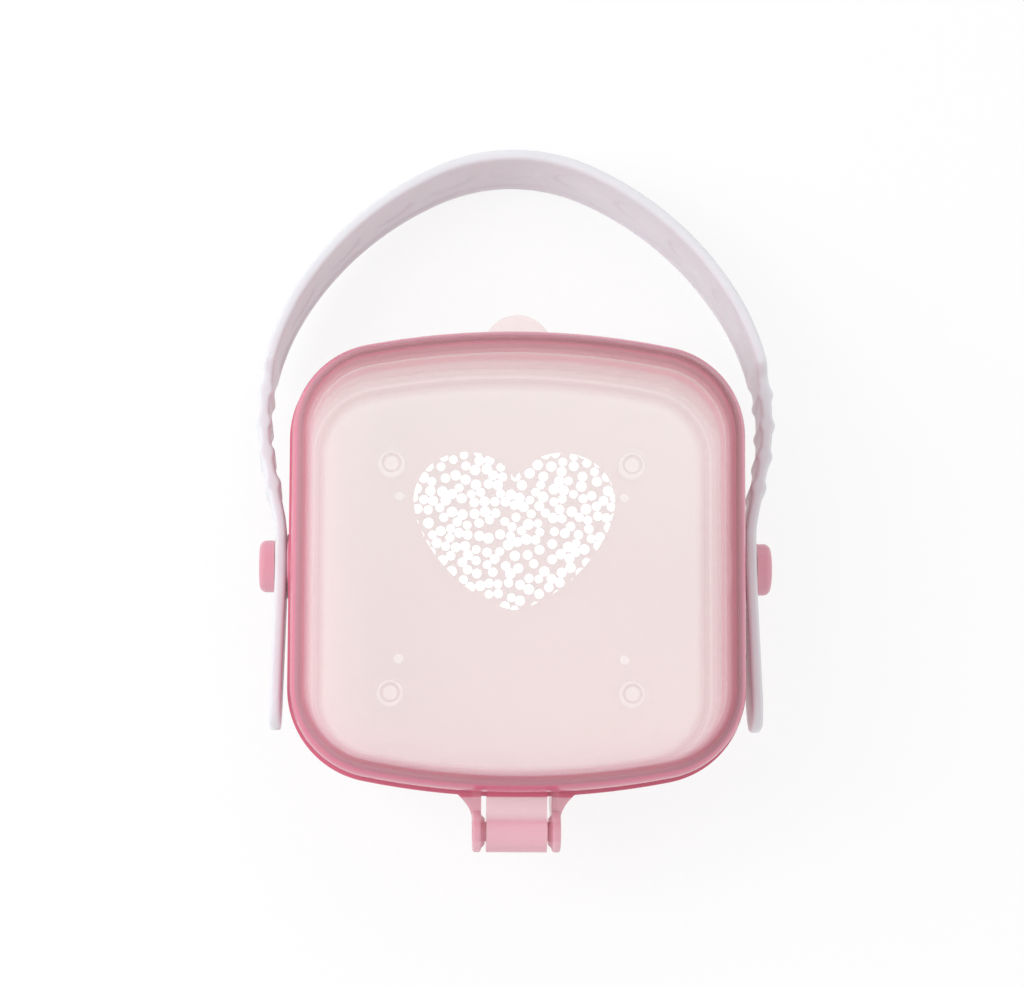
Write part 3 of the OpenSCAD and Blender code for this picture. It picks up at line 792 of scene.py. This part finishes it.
def translucentPink(name, grainGroup):
    # thin on the faces, milky on the walls, deep pink at the rim, its own tone outside the outline, with
    # painted shade in the foot dimples and towards the back
    finish, tones = pinkPlastic[name], pinkPlastic
    material, nodes, links, surface = newMaterial(name)
    place, split = nodes.new("ShaderNodeTexCoord"), nodes.new("ShaderNodeSeparateXYZ")
    links.new(place.outputs["Object"], split.inputs[0])
    side, back, front = plan["width"] / 2, caseY - plan["length"] / 2, caseY + plan["length"] / 2
    along, fade = split.outputs["Y"], tones["edgeFade"]
    paintedShadeToBack = rampAlong(nodes, links, along, back, front, 1, 0)
    beside = rampAlong(nodes, links, absolute(nodes, links, split.outputs["X"]),
                       *(side + out for out in tones["besideFade"]))
    behind = rampAlong(nodes, links, along, back - fade, back, 1, 0)
    far = rampAlong(nodes, links, along, *(back - out for out in tones["armFade"]), 1, 0)
    before = rampAlong(nodes, links, along, front - fade, front + fade)
    colour = heightColours(nodes, links, split.outputs["Z"],
                           [(z, tones[tone]) for z, tone in finish["heights"]])
    cover = heightColours(nodes, links, split.outputs["Z"],
                          [(z, (tones["cover"][tone],) * 3) for z, tone in finish["heights"]])
    # painted shade: the colour darkens and the cover thickens towards the back
    colour = layColour(nodes, links, colour, tones["back"], paintedShadeToBack, "MULTIPLY")
    cover = layColour(nodes, links, cover, (tones["backCover"],) * 3, paintedShadeToBack, "ADD")
    masks = ((beside, "outer"), (behind, finish["behind"]), (far, "hinge"), (before, "tab"))
    for mask, tone in masks:
        colour = layColour(nodes, links, colour, tones[tone], mask)
        cover = layColour(nodes, links, cover, (tones["cover"][tone],) * 3, mask)
    grain = nodes.new("ShaderNodeGroup")
    grain.node_tree = grainGroup
    grain.inputs["Strength"].default_value = finish["strength"]
    grain.inputs["Roughness"].default_value = tones["rough"]
    colour = layColour(nodes, links, colour, (1 - tones["cloud"],) * 3, grain.outputs["Cloud"], "MULTIPLY")
    links.new(colour, surface.inputs["Base Color"])
    links.new(cover, surface.inputs["Alpha"])
    links.new(grain.outputs["Normal"], surface.inputs["Normal"])
    links.new(grain.outputs["Roughness"], surface.inputs["Roughness"])
    surface.inputs["IOR"].default_value = tones["ior"]
    return material


ink = {"dull": (0.96, 0.96, 0.95), "white": (1.0, 1.0, 0.99), "strength": 0.2, "rough": 0.45}


def whiteInk(grainGroup):
    material, nodes, links, surface = newMaterial("whiteInk")
    grain = nodes.new("ShaderNodeGroup")
    grain.node_tree = grainGroup
    grain.inputs["Strength"].default_value = ink["strength"]
    grain.inputs["Roughness"].default_value = ink["rough"]
    ramp = blendColours(nodes, ink["dull"], ink["white"])
    links.new(grain.outputs["Cloud"], ramp.inputs[0])
    links.new(ramp.outputs[2], surface.inputs["Base Color"])
    links.new(grain.outputs["Normal"], surface.inputs["Normal"])
    links.new(grain.outputs["Roughness"], surface.inputs["Roughness"])
    return material


silicone = {
    "pale": (0.76, 0.775, 0.80), "deep": (0.72, 0.73, 0.755), "strength": 0.35, "rough": 0.4,
    "subsurface": 0.5, "radius": (1.0, 0.8, 0.85), "scale": 2 * mm, "sheen": 0.15,
}


def lilacSilicone(grainGroup):
    material, nodes, links, surface = newMaterial("lilacSilicone")
    grain = nodes.new("ShaderNodeGroup")
    grain.node_tree = grainGroup
    grain.inputs["Strength"].default_value = silicone["strength"]
    grain.inputs["Roughness"].default_value = silicone["rough"]
    tone = blendColours(nodes, silicone["deep"], silicone["pale"])
    links.new(grain.outputs["Cloud"], tone.inputs[0])
    links.new(tone.outputs[2], surface.inputs["Base Color"])
    links.new(grain.outputs["Normal"], surface.inputs["Normal"])
    links.new(grain.outputs["Roughness"], surface.inputs["Roughness"])
    surface.inputs["Subsurface Weight"].default_value = silicone["subsurface"]
    surface.inputs["Subsurface Radius"].default_value = silicone["radius"]
    surface.inputs["Subsurface Scale"].default_value = silicone["scale"]
    surface.inputs["Sheen Weight"].default_value = silicone["sheen"]
    return material


def dress(piece, material, body):
    piece.data.materials.clear()
    piece.data.materials.append(material)
    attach(piece, body)


studio = {
    "floorWhite": 0.95, "floorGlow": 0.8, "floorThrough": 1.0, "zenith": 0.85, "horizon": 0.72,
    "fill": (1.0, 0.98, 0.985), "keyTint": (0.97, 1.0, 1.02),
    "keyPower": 1.7, "keySize": (0.25, 0.6), "keyAt": (-0.45, 0.05, 0.45),
    "topPower": 0.2, "topSize": (0.5, 0.25), "topAt": (0.05, 0.42, 0.6),
}


def makeFloor():
    clearSelection()
    bpy.ops.mesh.primitive_plane_add(size=6)
    floor = bpy.context.active_object
    floor.name = "floor"
    material, nodes, links, surface = newMaterial("paleFloor")
    surface.inputs["Base Color"].default_value = (studio["floorWhite"],) * 3 + (1,)
    surface.inputs["Roughness"].default_value = 0.9
    surface.inputs["Specular IOR Level"].default_value = 0
    glow = nodes.new("ShaderNodeEmission")
    path = nodes.new("ShaderNodeLightPath")
    direct, through = nodes.new("ShaderNodeMath"), nodes.new("ShaderNodeMath")
    seen = nodes.new("ShaderNodeMath")
    seen.operation = "MAXIMUM"
    direct.operation, through.operation = "MULTIPLY", "MULTIPLY_ADD"
    direct.inputs[1].default_value = studio["floorGlow"]
    through.inputs[1].default_value = studio["floorThrough"]
    mix = nodes.new("ShaderNodeMixShader")
    links.new(path.outputs["Is Camera Ray"], seen.inputs[0])
    links.new(path.outputs["Is Glossy Ray"], seen.inputs[1])
    links.new(seen.outputs[0], direct.inputs[0])
    links.new(path.outputs["Is Transmission Ray"], through.inputs[0])
    links.new(direct.outputs[0], through.inputs[2])
    links.new(through.outputs[0], mix.inputs["Fac"])
    links.new(surface.outputs[0], mix.inputs[1])
    links.new(glow.outputs[0], mix.inputs[2])
    links.new(mix.outputs[0], nodes["Material Output"].inputs["Surface"])
    floor.data.materials.append(material)


def makeWorld():
    world = bpy.data.worlds.new("studio")
    bpy.context.scene.world = world
    world.use_nodes = True
    nodes, links = world.node_tree.nodes, world.node_tree.links
    backdrop = nodes["Background"]
    backdrop.inputs["Strength"].default_value = 1
    light = nodes.new("ShaderNodeBackground")
    place, split = nodes.new("ShaderNodeTexCoord"), nodes.new("ShaderNodeSeparateXYZ")
    height = nodes.new("ShaderNodeMapRange")
    height.inputs["To Min"].default_value = studio["horizon"]
    height.inputs["To Max"].default_value = studio["zenith"]
    links.new(place.outputs["Generated"], split.inputs[0])
    links.new(split.outputs["Z"], height.inputs["Value"])
    links.new(height.outputs["Result"], light.inputs["Strength"])
    path = nodes.new("ShaderNodeLightPath")
    seen, seenToo = nodes.new("ShaderNodeMath"), nodes.new("ShaderNodeMath")
    seen.operation = seenToo.operation = "MAXIMUM"
    mix = nodes.new("ShaderNodeMixShader")
    links.new(path.outputs["Is Camera Ray"], seen.inputs[0])
    links.new(path.outputs["Is Transmission Ray"], seen.inputs[1])
    links.new(seen.outputs[0], seenToo.inputs[0])
    links.new(path.outputs["Is Glossy Ray"], seenToo.inputs[1])
    links.new(seenToo.outputs[0], mix.inputs["Fac"])
    links.new(light.outputs[0], mix.inputs[1])
    links.new(backdrop.outputs[0], mix.inputs[2])
    backdrop.inputs["Color"].default_value = (1, 1, 1, 1)
    light.inputs["Color"].default_value = (*studio["fill"], 1)
    links.new(mix.outputs[0], nodes["World Output"].inputs["Surface"])


def addSoftbox(name, power, size, place):
    data = bpy.data.lights.new(name, "AREA")
    data.shape = "RECTANGLE"
    data.size, data.size_y = size
    data.energy = power
    data.color = studio["keyTint"]
    lamp = bpy.data.objects.new(name, data)
    lamp.visible_glossy = False
    lamp.visible_transmission = False
    bpy.context.scene.collection.objects.link(lamp)
    lamp.location = place
    target = Vector((0, caseY, base["seamZ"]))
    lamp.rotation_euler = (target - Vector(place)).to_track_quat("-Z", "Y").to_euler()


camera = {
    "place": (-21 * mm, -55 * mm, 575 * mm), "aim": (-0.9 * mm, 11.75 * mm, 26 * mm), "roll": 0.2,
    "pixel": 0.166 * mm, "imageWidth": 1024,
}


def makeCamera():
    data = bpy.data.cameras.new("photoCamera")
    eye = bpy.data.objects.new("photoCamera", data)
    bpy.context.scene.collection.objects.link(eye)
    place = Vector(camera["place"]) + Vector((0, caseY, 0))
    aim = Vector(camera["aim"]) + Vector((0, caseY, 0))
    back = (place - aim).normalized()
    upright = Vector((-math.sin(math.radians(camera["roll"])), math.cos(math.radians(camera["roll"])), 0))
    right = upright.cross(back).normalized()
    turn = Matrix((right, back.cross(right), back)).transposed().to_4x4()
    eye.matrix_world = Matrix.Translation(place) @ turn
    data.sensor_width = 36
    data.lens = 36 * (aim - place).length / (camera["pixel"] * camera["imageWidth"])
    data.clip_start = 0.01
    bpy.context.scene.camera = eye


bpy.context.scene.view_settings.view_transform = "Standard"
makeCamera()
makeFloor()
makeWorld()
addSoftbox("sideSoftbox", studio["keyPower"], studio["keySize"], studio["keyAt"])
addSoftbox("topSoftbox", studio["topPower"], studio["topSize"], studio["topAt"])
print("camera and studio ready")

grainGroup = mouldedGrain()
baseMoulding = makeBase()
dress(baseMoulding, translucentPink("basePink", grainGroup), "base")
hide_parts("base_shell")
print("base ready", len(baseMoulding.data.polygons))

lidMoulding = makeLid()
dress(lidMoulding, translucentPink("lidPink", grainGroup), "lid")
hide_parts("lid_shell")
heartPrint = makeHeart()
dress(heartPrint, whiteInk(grainGroup), "lid")
print("lid ready", len(lidMoulding.data.polygons))

strapBand = makeStrap()
dress(strapBand, lilacSilicone(grainGroup), "handle")
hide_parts("strap_handle")
print("strap ready", len(strapBand.data.polygons))
